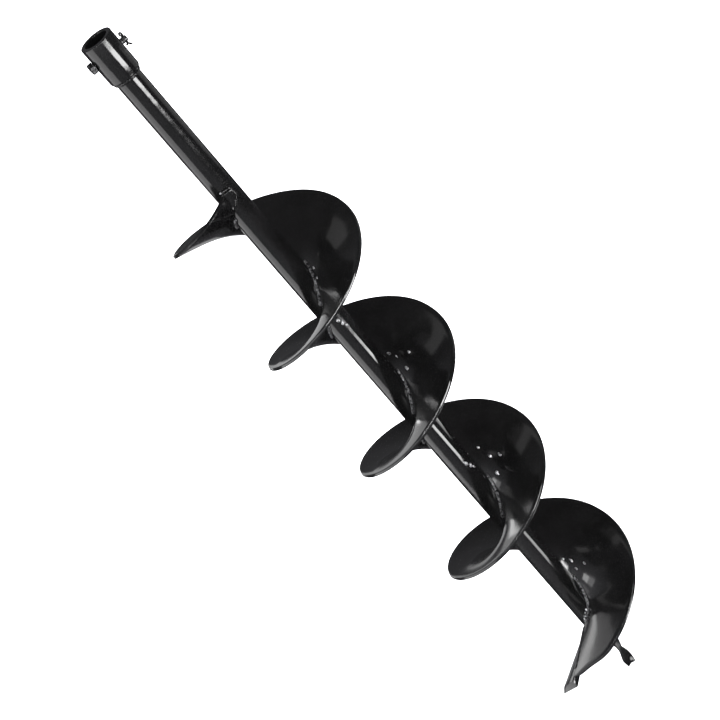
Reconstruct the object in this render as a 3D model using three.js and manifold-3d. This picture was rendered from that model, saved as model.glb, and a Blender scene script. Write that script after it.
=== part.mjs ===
// Spiral soil auger: a drive collar, a tubular shaft, a right-handed flight in sections,
// a welded cutter plate, a twisted fishtail pilot and a cross pin held by a split pin.
// Millimetres, +Z up along the shaft, origin at the centre of the drive socket's mouth.
// The auger hangs from the socket, so everything else is at negative z.

import * as THREE from 'three';
import { mergeVertices } from 'three/addons/utils/BufferGeometryUtils.js';
import Module from 'manifold-3d';

const wasm = await Module();
wasm.setup();

// ---- driving dimensions ---------------------------------------------------------------

const GAP = 0.3;                  // clearance left between neighbouring solids
const OVERALL_LENGTH = 800;       // socket mouth to pilot points

const COLLAR_RADIUS = 13.75;
const COLLAR_LENGTH = 36.5;
const SOCKET_RADIUS = 10;         // takes a 20 mm drive spigot
const SOCKET_DEPTH = 25;
const MOUTH_CHAMFER = 0.8;
const COLLAR_FOOT_CHAMFER = 2.1;

const TUBE_RADIUS = 11;
const TUBE_WALL = 2;
const TUBE_END = -727;

const PIN_HEIGHT = -15;           // z of the cross pin's axis
const PIN_TURN = 8;               // degrees, the pin's head is turned this far towards -Y
const PIN_RADIUS = 2.5;
const PIN_HOLE_RADIUS = 2.85;     // the pin turns freely in its two holes
const PIN_HEAD_FLATS = 8.5;
const PIN_HEAD_HEIGHT = 4.2;
const PIN_TAIL = 5.6;             // length standing out past the collar
const SEAT_GAP = 0.4;             // slack between the collar and the pin's head
const SPLIT_RADIUS = 1;           // the two legs together
const SPLIT_HOLE_RADIUS = 1.3;
const SPLIT_REACH = 3.3;          // from the collar's side to the split pin's axis
const SPLIT_TURN = -50;           // degrees, turns the bent leg towards -Y
const EYE_RADIUS = 1.15;          // middle of the eye's wire
const EYE_WIRE_RADIUS = 0.75;
const LEG_RADIUS = 0.8;
const LEGS = [                    // length, and degrees bent out of the shank's line
  [2.9, -62],
  [4.2, 52],
];
const SPLIT_PLAY = 1;             // how far the split pin can lift in its hole

const FLIGHT_THICKNESS = 3;
const FLIGHT_START = -16;         // helix angle in degrees where the flight begins
const FLIGHT_END = 1486;          // where the cutter plate takes over
const SECTION_TURN = 360;         // one flight section is one whole turn
const SECTION_COUNT = 4;          // whole turns, followed by the short lead section
const SEAM_GAP = 0.35;
const TOP_RADIUS = 65.5;          // rim radius at helix angle 0, had the start not been bent
const RIM_GROWTH = 2;             // rim radius gained in each turn
const TONGUE_END = 18;            // up to here the flight lies flat on the tube as a tongue
const FREE_ANGLE = 97;            // and from here on it stands out in full
const TONGUE_TOP_DROP = 18;       // how far the tongue's upper edge lies below the rim's line
const TONGUE_FOOT_DROP = 12;      // and its lower edge below the inner edge's line
const RIM_LIFT = 4;               // the rim is bent up by this much where it leaves the tube
const RIM_CUT = 7.5;              // the rim is cut back by this much beside the cutter plate
const RIM_CUT_START = 1444;       // between these two helix angles
const RIM_CUT_END = 1471;
const RIM_START_Z = -144.5;       // rim height at helix angle 0
const TOP_PITCH = 125;            // pitch at helix angle 0
const PITCH_GROWTH = 6.2;         // pitch gained in each turn
const LEAD_TURN = 3.55;           // turn from which the leading part steepens
const LEAD_DROP = 21;             // extra rim drop reached at the last turn
const LAST_TURN = 4.2;
const TOP_CUP = 12.6;             // how far the inner edge lies below the rim
const CUP_GROWTH = 1.6;           // cup gained in each turn
const FLAT_TURN = 3.88;           // turn from which the cup is taken out of the plate
const FLAT_RATE = 160;

const CUTTER_THICKNESS = 6.3;
const CUTTER_START = 1486;        // helix angle of the butt joint with the flight
const CUTTER_LEAD = 1501.5;       // helix angle of the upper leading edge
const CUTTER_INNER_RADIUS = 13.6;
const CUTTER_OUTER_RADIUS = 70.6; // of the upper face
const CUTTER_FLARE = 2.7;         // the lower face reaches this much further out
const LEAD_INNER_Z = -725.5;      // upper leading edge, beside the tube
const LEAD_OUTER_Z = -739.3;      // and at its outer end
const BEVEL_AHEAD = 4.2;          // the cutting edge below stands this far ahead
const BEVEL_DROP = 8.6;           // and this far down
const CUTTER_WELD_END = 58;       // radius where the bead on the butt joint stops

const PILOT_WIDTH = 12.5;
const PILOT_THICKNESS = 5;
const PILOT_TWIST = 270;          // degrees of twist from the tube to the points
const PILOT_NOTCH = 1.8;          // depth of the V between the two points
const PILOT_END_WIDTH = 9;        // across the two points
const PILOT_STUB_LENGTH = 22;     // round stub held inside the tube

const BEAD_HALF_WIDTH = 1.3;      // of a weld bead where it meets the tube
const BEAD_CROWN = 0.6;           // half-width of the bead's rounded top
const BEAD_HEIGHT = 2.2;
const DEG = Math.PI / 180;

// ---- paints and bare metals -----------------------------------------------------------

const paint = (color, roughness) =>
  new THREE.MeshStandardMaterial({ color, roughness, metalness: 0.1 });
const steel = (color, roughness) =>
  new THREE.MeshStandardMaterial({ color, roughness, metalness: 0.9 });

const glossBlack = () => paint(0x0b0b0c, 0.22);
const weldBlack = () => paint(0x101011, 0.3);
const darkSteel = () => steel(0x2a2a2c, 0.35);

// ---- helpers --------------------------------------------------------------------------

const auger = new THREE.Group();

function addPart(name, geometry, material, parent = auger) {
  const mesh = new THREE.Mesh(geometry, material);
  mesh.name = name;
  parent.add(mesh);
  return mesh;
}

function toSolid(geometry) {
  const bare = geometry.clone();
  bare.deleteAttribute('normal');
  bare.deleteAttribute('uv');
  const merged = mergeVertices(bare, 1e-4);
  return new wasm.Manifold(new wasm.Mesh({
    numProp: 3,
    vertProperties: new Float32Array(merged.attributes.position.array),
    triVerts: new Uint32Array(merged.index.array),
  }));
}

function toGeometry(solid) {
  const mesh = solid.getMesh();
  const geometry = new THREE.BufferGeometry();
  geometry.setAttribute('position', new THREE.BufferAttribute(mesh.vertProperties, 3));
  geometry.setIndex(new THREE.BufferAttribute(mesh.triVerts, 1));
  return geometry;
}

// A turned solid: profile is a closed list of [radius, z] going up on the outside.
function turned(profile, segments) {
  const points = profile.map(([r, z]) => new THREE.Vector2(r, z));
  points.push(points[0].clone());
  const geometry = new THREE.LatheGeometry(points, segments);
  return geometry.rotateX(Math.PI / 2);
}

// A closed solid through a list of rings. Every ring holds the same number of points:
// the upper row from the inside out, then the lower row from the outside in.
function lofted(rings) {
  const count = rings[0].length;
  const positions = rings.flat().flatMap((p) => [p.x, p.y, p.z]);
  const index = [];
  for (let ring = 0; ring < rings.length - 1; ring += 1) {
    for (let i = 0; i < count; i += 1) {
      const a = ring * count + i;
      const b = ring * count + ((i + 1) % count);
      index.push(a, a + count, b, b, a + count, b + count);
    }
  }
  const last = (rings.length - 1) * count;
  for (let i = 0; i < count / 2 - 1; i += 1) {
    const j = count - 1 - i;
    index.push(i, i + 1, j, i + 1, j - 1, j);
    index.push(last + i, last + j, last + i + 1, last + i + 1, last + j, last + j - 1);
  }
  const geometry = new THREE.BufferGeometry();
  geometry.setAttribute('position', new THREE.Float32BufferAttribute(positions, 3));
  geometry.setIndex(index);
  return geometry;
}

// ---- the helix ------------------------------------------------------------------------

// Helix angles are in degrees from the front (-Y), going towards -X and down.
const turnsAt = (angle) => angle / 360;

const fullRadius = (angle) => TOP_RADIUS + RIM_GROWTH * turnsAt(angle);

// How far the mid surface stands off the tube's side where the flight lies flat on it.
const HUG_RADIUS = TUBE_RADIUS + GAP + FLIGHT_THICKNESS / 2;

function rimRadius(angle) {
  const free = THREE.MathUtils.clamp((angle - TONGUE_END) / (FREE_ANGLE - TONGUE_END), 0, 1);
  const cut = THREE.MathUtils.smoothstep(angle, RIM_CUT_START, RIM_CUT_END);
  return HUG_RADIUS + (fullRadius(angle) - HUG_RADIUS) * Math.sin(free * Math.PI / 2)
    - RIM_CUT * cut;
}

function innerRadius(angle) {
  const hug = 1 - THREE.MathUtils.smoothstep(angle, TONGUE_END, FREE_ANGLE);
  return TUBE_RADIUS + GAP + FLIGHT_THICKNESS / 2 * hug;
}

function rimHeight(angle) {
  const turns = turnsAt(angle);
  const lead = Math.max(0, (turns - LEAD_TURN) / (LAST_TURN - LEAD_TURN));
  return RIM_START_Z - TOP_PITCH * turns - PITCH_GROWTH * turns * turns / 2
    - LEAD_DROP * lead * lead;
}

function cupDepth(angle) {
  const turns = turnsAt(angle);
  const flat = Math.max(0, turns - FLAT_TURN);
  return TOP_CUP + CUP_GROWTH * turns - FLAT_RATE * Math.pow(flat, 1.25);
}

// The sheet's straight cross-section at a helix angle: radius and height of its two ends.
function sectionEnds(angle) {
  const left = 1 - THREE.MathUtils.clamp(
    (angle - FLIGHT_START) / (FREE_ANGLE - FLIGHT_START), 0, 1);
  const tube = TUBE_RADIUS + GAP;
  const rim = rimRadius(angle);
  const across = left > 0 ? 1 : (rim - tube) / (fullRadius(angle) - tube);
  const foot = rimHeight(angle) - cupDepth(angle);
  const drop = TONGUE_TOP_DROP * Math.pow(left, 1.9) - RIM_LIFT * Math.sin(left * Math.PI);
  return {
    inner: [innerRadius(angle), foot - TONGUE_FOOT_DROP * Math.pow(left, 1.2)],
    outer: [rim, foot + cupDepth(angle) * across - drop],
  };
}

function midSurface(angle, share) {
  const { inner, outer } = sectionEnds(angle);
  const radius = inner[0] + (outer[0] - inner[0]) * share;
  const a = angle * DEG;
  return new THREE.Vector3(
    -radius * Math.sin(a), -radius * Math.cos(a), inner[1] + (outer[1] - inner[1]) * share);
}

// How far out a radius lies on the flight, as a share of the way from the tube to the rim.
function shareAt(angle, radius) {
  const { inner, outer } = sectionEnds(angle);
  return (radius - inner[0]) / (outer[0] - inner[0]);
}

// A point at a distance above (or below) the flight's middle surface.
function flightPoint(angle, share, above) {
  const along = midSurface(angle + 0.5, share).sub(midSurface(angle - 0.5, share));
  const out = midSurface(angle, share + 0.01).sub(midSurface(angle, share - 0.01));
  const up = along.cross(out).normalize();
  return midSurface(angle, share).addScaledVector(up, above);
}

// ---- collar, tube and their weld ------------------------------------------------------

// The cross pin's own frame: +X runs along the pin, from its head to the split pin.
const pinFrame = new THREE.Group();
pinFrame.position.set(0, 0, PIN_HEIGHT);
pinFrame.rotation.z = PIN_TURN * DEG;
auger.add(pinFrame);

function collarGeometry() {
  const sleeve = turned([
    [TUBE_RADIUS + GAP, -COLLAR_LENGTH],
    [COLLAR_RADIUS - COLLAR_FOOT_CHAMFER, -COLLAR_LENGTH],
    [COLLAR_RADIUS - COLLAR_FOOT_CHAMFER / 3, -COLLAR_LENGTH + COLLAR_FOOT_CHAMFER / 3],
    [COLLAR_RADIUS, -COLLAR_LENGTH + COLLAR_FOOT_CHAMFER],
    [COLLAR_RADIUS, -MOUTH_CHAMFER / 2],
    [COLLAR_RADIUS - MOUTH_CHAMFER / 2, 0],
    [SOCKET_RADIUS + MOUTH_CHAMFER, 0],
    [SOCKET_RADIUS, -MOUTH_CHAMFER],
    [SOCKET_RADIUS, -SOCKET_DEPTH],
    [TUBE_RADIUS + GAP, -SOCKET_DEPTH],
  ], 48);
  const drill = new THREE.CylinderGeometry(
    PIN_HOLE_RADIUS, PIN_HOLE_RADIUS, COLLAR_RADIUS * 3, 20);
  drill.rotateZ(Math.PI / 2 + PIN_TURN * DEG);
  drill.translate(0, 0, PIN_HEIGHT);
  return toGeometry(toSolid(sleeve).subtract(toSolid(drill)));
}

function tubeGeometry() {
  const bore = TUBE_RADIUS - TUBE_WALL;
  const top = -SOCKET_DEPTH - GAP;
  return turned([
    [bore, TUBE_END],
    [TUBE_RADIUS, TUBE_END],
    [TUBE_RADIUS, top],
    [bore, top],
  ], 40);
}

function ringWeldGeometry(innerRadius, top, height, spread, segments) {
  return turned([
    [innerRadius, top - height],
    [innerRadius + spread * 0.45, top - height * 0.8],
    [innerRadius + spread * 0.85, top - height * 0.4],
    [innerRadius + spread, top],
    [innerRadius, top],
  ], segments);
}

// ---- cross pin and split pin ----------------------------------------------------------

const splitX = COLLAR_RADIUS + SPLIT_REACH;

function crossPinGeometry() {
  const seat = COLLAR_RADIUS + SEAT_GAP;
  const tail = COLLAR_RADIUS + PIN_TAIL;
  const headRadius = PIN_HEAD_FLATS / Math.sqrt(3);
  const head = new THREE.CylinderGeometry(headRadius, headRadius, PIN_HEAD_HEIGHT, 6);
  head.rotateX(Math.PI / 2);
  const crown = turned([
    [0, 0],
    [PIN_HEAD_FLATS, 0],
    [PIN_HEAD_FLATS, PIN_HEAD_HEIGHT - PIN_HEAD_FLATS * 0.35],
    [PIN_HEAD_FLATS * 0.42, PIN_HEAD_HEIGHT],
    [0, PIN_HEAD_HEIGHT],
  ], 24);
  head.translate(0, 0, PIN_HEAD_HEIGHT / 2);
  const rounded = toSolid(head).intersect(toSolid(crown));
  const headGeometry = toGeometry(rounded);
  headGeometry.rotateY(-Math.PI / 2);
  headGeometry.translate(-seat, 0, 0);
  const shank = turned([
    [0, -seat - PIN_HEAD_HEIGHT / 2],
    [PIN_RADIUS, -seat - PIN_HEAD_HEIGHT / 2],
    [PIN_RADIUS, tail - PIN_RADIUS / 3],
    [PIN_RADIUS * 2 / 3, tail],
    [0, tail],
  ], 24);
  shank.rotateY(Math.PI / 2);
  const drill = new THREE.CylinderGeometry(
    SPLIT_HOLE_RADIUS, SPLIT_HOLE_RADIUS, PIN_RADIUS * 3, 14);
  drill.rotateX(Math.PI / 2);
  drill.translate(splitX, 0, 0);
  return toGeometry(toSolid(headGeometry).add(toSolid(shank)).subtract(toSolid(drill)));
}

// A round rod of the given radius between two points.
function rod(from, to, radius, segments) {
  const along = to.clone().sub(from);
  const geometry = new THREE.CylinderGeometry(radius * 0.8, radius, along.length(), segments);
  geometry.translate(0, along.length() / 2, 0);
  const turn = new THREE.Quaternion().setFromUnitVectors(
    new THREE.Vector3(0, 1, 0), along.clone().normalize());
  geometry.applyQuaternion(turn);
  return geometry.translate(from.x, from.y, from.z);
}

// The eye rests on top of the cross pin, the shank goes down through it, and the two legs
// are bent apart below.
function splitPinGeometry() {
  const eyeOuter = EYE_RADIUS + EYE_WIRE_RADIUS;
  const eyeHeight = PIN_RADIUS + GAP + eyeOuter;
  const legTop = -PIN_RADIUS - GAP - SPLIT_PLAY;
  const eye = new THREE.TorusGeometry(EYE_RADIUS, EYE_WIRE_RADIUS, 10, 20);
  eye.rotateX(Math.PI / 2);
  eye.translate(0, 0, eyeHeight);
  const shankTop = eyeHeight - eyeOuter + EYE_WIRE_RADIUS;
  const shank = turned([
    [0, legTop - LEG_RADIUS],
    [SPLIT_RADIUS, legTop - LEG_RADIUS],
    [SPLIT_RADIUS, shankTop],
    [0, shankTop],
  ], 14);
  let pin = toSolid(eye).add(toSolid(shank));
  for (const [length, bend] of LEGS) {
    const knee = new THREE.Vector3(0, 0, legTop - LEG_RADIUS / 2);
    const tip = new THREE.Vector3(
      length * Math.sin(bend * DEG), 0, knee.z - length * Math.cos(bend * DEG));
    pin = pin.add(toSolid(rod(knee, tip, LEG_RADIUS, 10)));
  }
  const geometry = toGeometry(pin).rotateZ(SPLIT_TURN * DEG);
  return geometry.translate(splitX, 0, 0);
}

// ---- flight ---------------------------------------------------------------------------

const FLIGHT_STEP = 8;            // degrees between cross-sections
const ACROSS = [0, 0.3, 1];       // stations from the tube to the rim

// One section of the flight between two helix angles. Its ends are straight butt edges,
// set back by half the seam gap.
function flightSection(startAngle, endAngle) {
  const steps = Math.ceil((endAngle - startAngle) / FLIGHT_STEP);
  const rings = [];
  for (let step = 0; step <= steps; step += 1) {
    const angle = startAngle + (endAngle - startAngle) * step / steps;
    const setBack = (step === 0 ? 1 : 0) - (step === steps ? 1 : 0);
    const station = (share, above) => {
      const place = midSurface(angle, share);
      const shift = setBack * SEAM_GAP / 2 / Math.hypot(place.x, place.y) / DEG;
      return flightPoint(angle + shift, share, above);
    };
    const upper = ACROSS.map((share) => station(share, FLIGHT_THICKNESS / 2));
    const lower = ACROSS.map((share) => station(share, -FLIGHT_THICKNESS / 2)).reverse();
    rings.push([...upper, ...lower]);
  }
  return lofted(rings);
}

// ---- weld beads on the tube -----------------------------------------------------------

const beadBase = TUBE_RADIUS + GAP;

function onTube(arc, radius, z) {
  const angle = arc / beadBase;
  return new THREE.Vector3(-radius * Math.sin(angle), -radius * Math.cos(angle), z);
}

// A bead laid on the tube along a path of [arc length, z] points.
function beadOnTube(path) {
  const points = path.map(([arc, z]) => new THREE.Vector2(arc, z));
  const last = points.length - 1;
  return lofted(points.map((point, i) => {
    const ahead = points[Math.min(i + 1, last)].clone().sub(points[Math.max(i - 1, 0)]);
    const side = new THREE.Vector2(-ahead.y, ahead.x).normalize();
    const size = 0.5 + 0.5 * Math.min(1, 3 * Math.min(i, last - i) / last);
    const at = (beside, height) => onTube(
      point.x + side.x * beside * size, beadBase + height * size, point.y + side.y * beside * size);
    return [
      at(BEAD_HALF_WIDTH, 0), at(BEAD_CROWN, BEAD_HEIGHT),
      at(-BEAD_CROWN, BEAD_HEIGHT), at(-BEAD_HALF_WIDTH, 0),
    ];
  }));
}

// An edge of the flight that lies beside the tube, unrolled: the point at a helix angle, and
// the directions along the edge (down the helix) and across it (upwards).
function unrolledEdge(angle, share) {
  const flat = (a) => new THREE.Vector2(a * DEG * beadBase, midSurface(a, share).z);
  const along = flat(angle + 0.5).sub(flat(angle - 0.5)).normalize();
  return { point: flat(angle), along, across: new THREE.Vector2(-along.y, along.x) };
}

const BESIDE = FLIGHT_THICKNESS / 2 + GAP * 1.5 + BEAD_HALF_WIDTH;

// A straight stitch beside the inner edge, on the upper (side 1) or lower (side -1) face.
function stitchWeld(startAngle, endAngle, side) {
  const steps = Math.max(4, Math.ceil((endAngle - startAngle) / 9));
  const path = [];
  for (let step = 0; step <= steps; step += 1) {
    const angle = startAngle + (endAngle - startAngle) * step / steps;
    const { point, across } = unrolledEdge(angle, 0);
    const at = point.addScaledVector(across, side * BESIDE);
    path.push([at.x, at.y]);
  }
  return beadOnTube(path);
}

// The bead round the end of the tongue: back along its lower edge, over its end and on along
// its upper edge.
function startWeld() {
  const beside = GAP * 1.8 + BEAD_HALF_WIDTH;
  const reach = 24;               // degrees covered along each edge
  const steps = 4;
  const edge = (i, share) => {
    const side = share * 2 - 1;
    const { point, along, across } = unrolledEdge(FLIGHT_START + reach * i / steps, share);
    return { point: point.addScaledVector(across, side * beside), along };
  };
  const path = [];
  for (let i = steps; i >= 0; i -= 1) path.push(edge(i, 0).point);
  for (const share of [0, 1]) {
    const { point, along } = edge(0, share);
    path.push(point.addScaledVector(along, -beside));
  }
  for (let i = 0; i <= steps; i += 1) path.push(edge(i, 1).point);
  return beadOnTube(path.map((point) => [point.x, point.y]));
}

// ---- cutter plate ---------------------------------------------------------------------

// The plate's upper face carries on from the flight's upper face at the butt joint and
// runs out at its bevelled leading edge.
function cutterGeometry() {
  const shares = [0, 0.5, 1];
  const top = FLIGHT_THICKNESS / 2;
  const reach = CUTTER_OUTER_RADIUS - CUTTER_INNER_RADIUS;
  const radiusAt = (share, flare) => CUTTER_INNER_RADIUS + (reach + flare) * share;
  const backRow = (above, flare) => shares.map((share) => {
    const radius = radiusAt(share, flare);
    const angle = CUTTER_START + SEAM_GAP / radius / DEG;
    return flightPoint(angle, shareAt(angle, radius), above);
  });
  const leadRow = (ahead, drop, flare) => shares.map((share) => {
    const radius = radiusAt(share, flare);
    const angle = CUTTER_LEAD * DEG + ahead / radius;
    const z = LEAD_INNER_Z + (LEAD_OUTER_Z - LEAD_INNER_Z) * share - drop;
    return new THREE.Vector3(-radius * Math.sin(angle), -radius * Math.cos(angle), z);
  });
  const back = [
    ...backRow(top, 0),
    ...backRow(top - CUTTER_THICKNESS, CUTTER_FLARE).reverse(),
  ];
  const lead = [
    ...leadRow(0, 0, 0),
    ...leadRow(BEVEL_AHEAD, BEVEL_DROP, CUTTER_FLARE).reverse(),
  ];
  return lofted([back, lead]);
}

// The bead over the butt joint between the flight and the plate. It stops short of the rim.
function cutterWeld() {
  const steps = 12;
  const inner = CUTTER_INNER_RADIUS + 1;
  const rings = [];
  for (let step = 0; step <= steps; step += 1) {
    const radius = inner + (CUTTER_WELD_END - inner) * step / steps;
    const size = step === 0 || step === steps ? 0.6 : 1;
    const at = (ahead, height) => {
      const angle = CUTTER_START + ahead * size / radius / DEG;
      return flightPoint(
        angle, shareAt(angle, radius), FLIGHT_THICKNESS / 2 + GAP + height * size);
    };
    rings.push([at(1.5, 0), at(0.7, 0.8), at(-0.7, 0.8), at(-1.5, 0)]);
  }
  return lofted(rings);
}

// ---- pilot ----------------------------------------------------------------------------

function pilotGeometry() {
  const top = TUBE_END - GAP;
  const length = OVERALL_LENGTH + top;
  const steps = 22;
  const rings = [];
  for (let step = 0; step <= steps; step += 1) {
    const along = step / steps;
    const turn = PILOT_TWIST * (1 - along) * DEG;
    const taper = Math.max(0, (along - 0.82) / 0.18);
    const half = (PILOT_WIDTH + (PILOT_END_WIDTH - PILOT_WIDTH) * taper) / 2;
    const thick = PILOT_THICKNESS / 2 * (1 - 0.35 * along);
    const notch = step === steps ? PILOT_NOTCH : 0;
    const z = top - length * along;
    const at = (u, v, lift) => new THREE.Vector3(
      u * Math.cos(turn) - v * Math.sin(turn),
      u * Math.sin(turn) + v * Math.cos(turn),
      z + lift);
    rings.push([
      at(-half, thick, 0), at(0, thick, notch), at(half, thick, 0),
      at(half, -thick, 0), at(0, -thick, notch), at(-half, -thick, 0),
    ]);
  }
  const bar = toSolid(lofted(rings.reverse()));
  const bore = TUBE_RADIUS - TUBE_WALL - GAP;
  const stub = turned([
    [0, top - 2],
    [bore - 1.5, top - 2],
    [bore, top],
    [bore, top + PILOT_STUB_LENGTH - 1],
    [bore - 1, top + PILOT_STUB_LENGTH],
    [0, top + PILOT_STUB_LENGTH],
  ], 28);
  return toGeometry(bar.add(toSolid(stub)));
}

// ---- assembly -------------------------------------------------------------------------

addPart('drive_collar', collarGeometry(), glossBlack());
addPart('collar_weld',
  ringWeldGeometry(TUBE_RADIUS + GAP, -COLLAR_LENGTH - GAP, 2.2, 1.1, 36), weldBlack());
addPart('shaft_tube', tubeGeometry(), glossBlack());

addPart('cross_pin', crossPinGeometry(), darkSteel(), pinFrame);
addPart('split_pin', splitPinGeometry(), darkSteel(), pinFrame);

for (let turn = 0; turn < SECTION_COUNT; turn += 1) {
  const start = FLIGHT_START + SECTION_TURN * turn;
  addPart(`flight_turn_${turn + 1}`, flightSection(start, start + SECTION_TURN), glossBlack());
}
addPart('flight_lead',
  flightSection(FLIGHT_START + SECTION_TURN * SECTION_COUNT, FLIGHT_END), glossBlack());
addPart('cutter_plate', cutterGeometry(), glossBlack());
addPart('cutter_weld', cutterWeld(), weldBlack());
addPart('pilot_point', pilotGeometry(), glossBlack());
addPart('start_weld', startWeld(), weldBlack());
for (let turn = 0; turn < SECTION_COUNT; turn += 1) {
  const front = SECTION_TURN * turn;
  addPart(`upper_weld_${turn + 1}`, stitchWeld(front + 282, front + 344, 1), weldBlack());
  addPart(`lower_weld_${turn + 1}`, stitchWeld(front + 54, front + 92, -1), weldBlack());
}

export default auger;
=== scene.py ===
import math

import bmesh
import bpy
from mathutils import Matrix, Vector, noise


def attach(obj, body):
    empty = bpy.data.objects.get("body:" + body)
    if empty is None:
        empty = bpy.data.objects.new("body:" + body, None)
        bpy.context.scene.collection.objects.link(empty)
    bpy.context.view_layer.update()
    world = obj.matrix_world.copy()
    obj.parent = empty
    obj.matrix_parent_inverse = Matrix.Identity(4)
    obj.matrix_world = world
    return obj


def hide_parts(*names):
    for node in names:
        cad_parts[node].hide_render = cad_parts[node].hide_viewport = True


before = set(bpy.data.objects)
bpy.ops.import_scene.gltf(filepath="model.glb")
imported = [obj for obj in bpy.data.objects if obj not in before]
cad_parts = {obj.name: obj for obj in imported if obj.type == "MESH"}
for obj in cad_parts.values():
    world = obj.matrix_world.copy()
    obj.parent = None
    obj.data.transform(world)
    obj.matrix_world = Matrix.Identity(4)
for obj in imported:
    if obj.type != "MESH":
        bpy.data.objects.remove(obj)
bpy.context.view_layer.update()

# Spiral soil auger, black gloss paint over welded steel, standing upright with its point
# just clear of a plain pale floor. Lengths are millimetres in the CAD part's frame, +Z up
# the shaft, origin at the centre of the socket's mouth, and meshes are scaled to metres
# when they are made. The studio at the end is in metres.

MM = 0.001
DEG = math.pi / 180

# ---- dimensions shared with the CAD part ------------------------------------------------

GAP = 0.3
COLLAR_RADIUS = 13.75
COLLAR_LENGTH = 36.5
SOCKET_RADIUS = 10
SOCKET_DEPTH = 25
TUBE_RADIUS = 11
TUBE_BORE = 9
TUBE_END = -727
PILOT_END = -800

PIN_HEIGHT = -15
PIN_TURN = 8
PIN_RADIUS = 2.5
PIN_HOLE_RADIUS = 2.85
PIN_HEAD_FLATS = 8.5
PIN_HEAD_HEIGHT = 4.2
PIN_SEAT = COLLAR_RADIUS + 0.4
PIN_TAIL = COLLAR_RADIUS + 5.6
SPLIT_X = COLLAR_RADIUS + 3.3
SPLIT_TURN = -50
SPLIT_HOLE_RADIUS = 1.3
SPLIT_TOP = PIN_RADIUS + 0.3
SPLIT_BOTTOM = -PIN_RADIUS - 1.3

THICKNESS = 3
FLIGHT_START = -16
FLIGHT_END = 1486
TOP_RADIUS = 65.5
RIM_GROWTH = 2
TONGUE_END = 18
FREE_ANGLE = 97
TONGUE_TOP_DROP = 18
TONGUE_TOP_CURVE = 1.9
TONGUE_FOOT_DROP = 12
TONGUE_FOOT_CURVE = 1.2
RIM_LIFT = 4
RIM_CUT = 7.5
RIM_CUT_START = 1444
RIM_CUT_END = 1471
RIM_START_Z = -144.5
TOP_PITCH = 125
PITCH_GROWTH = 6.2
LEAD_TURN = 3.55
LAST_TURN = 4.2
LEAD_DROP = 21
TOP_CUP = 12.6
CUP_GROWTH = 1.6
FLAT_TURN = 3.88
FLAT_RATE = 160
FLAT_CURVE = 1.25

CUTTER_THICKNESS = 6.3
CUTTER_LEAD = 1501.5
CUTTER_INNER_RADIUS = 13.6
CUTTER_OUTER_RADIUS = 70.6
CUTTER_FLARE = 2.7
LEAD_INNER_Z = -725.5
LEAD_OUTER_Z = -739.3
BEVEL_AHEAD = 4.2
BEVEL_DROP = 8.6

PILOT_WIDTH = 12.5
PILOT_END_WIDTH = 9
PILOT_THICKNESS = 5
PILOT_TWIST = 270
PILOT_NOTCH = 1.8
STUB_RADIUS = 8.6
STUB_LENGTH = 21

# ---- detail that only the looks have ----------------------------------------------------

FLIGHT_STEP = 2.5                 # degrees between the flight's cross-sections
FLIGHT_SPANS = 12                 # quads across one face of the sheet
RIM_FILLET = 0.55                 # rounding of the rim's two edges
SHEET_WAVE = 0.35                 # how far the formed sheet wanders from a true helix
RIPPLE_PITCH = 1.7                # spacing of the ripples in a weld bead
BEAD_SPACING = 0.4                # distance between a bead's cross-sections
BEAD_SIDES = 14                   # points round a bead or a drop of spatter
STITCH_SIZE = 1.7                 # half width and height of the stitch welds
UPPER_STITCH = (266, 366)         # helix degrees from each turn's front
LAST_UPPER_STITCH = (266, 398)
LOWER_STITCH = (54, 92)
SHARP = 35                        # degrees; steeper edges stay crisp
WELD_SHARP = 70                   # the same for weld metal
WIRE_SHARP = 60
EDGE_SHARP = 28                   # the cutter plate and the finished cross pin
PIN_SHARP = 25                    # the cross pin's parts before they are joined
WIRE_RADIUS = 0.62                # the split pin's wire inside its hole
THICK_WIRE_RADIUS = 0.8           # and outside it
EYE_RADIUS = 1.25

# ---- studio, in metres and degrees ------------------------------------------------------

FLOOR_Z = -0.802
FLOOR_SIZE = 30.0
BACKDROP_TOP = 25.0
CAMERA_PLACE = (0, -1.4046, 0.4416)
CAMERA_TARGET = (-0.0072, 0, -0.3568)
CAMERA_ROLL = 40.86
CAMERA_LENS = 96.64               # millimetres, on a sensor 36 mm wide
CAMERA_SHIFT = (-0.0006, 0.0012)
BRIGHT_SIDE = (-0.7071, -0.7071, 0.0)
WORLD_BANDS = [                   # (share of the way up, brightness)
    (0.0, 0.30), (0.15, 0.42), (0.30, 0.30), (0.42, 0.38), (0.50, 0.50),
    (0.56, 0.65), (0.75, 0.60), (0.80, 0.34), (0.92, 0.20), (1.0, 0.08),
]


# ---- materials --------------------------------------------------------------------------

def node_tree(name):
    material = bpy.data.materials.new(name)
    material.use_nodes = True
    nodes = material.node_tree.nodes
    shader = nodes["Principled BSDF"]
    return material, nodes, material.node_tree.links, shader


def add_noise(nodes, links, coordinates, scale, detail=3.0, roughness=0.5):
    texture = nodes.new("ShaderNodeTexNoise")
    texture.inputs["Scale"].default_value = scale
    texture.inputs["Detail"].default_value = detail
    texture.inputs["Roughness"].default_value = roughness
    links.new(coordinates.outputs["Object"], texture.inputs["Vector"])
    return texture.outputs["Fac"]


def add_ramp(nodes, links, value, stops):
    ramp = nodes.new("ShaderNodeValToRGB")
    ramp.color_ramp.elements[0].position = stops[0][0]
    ramp.color_ramp.elements[0].color = (*stops[0][1], 1)
    ramp.color_ramp.elements[1].position = stops[-1][0]
    ramp.color_ramp.elements[1].color = (*stops[-1][1], 1)
    for position, colour in stops[1:-1]:
        ramp.color_ramp.elements.new(position).color = (*colour, 1)
    links.new(value, ramp.inputs["Fac"])
    return ramp.outputs["Color"]


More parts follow.
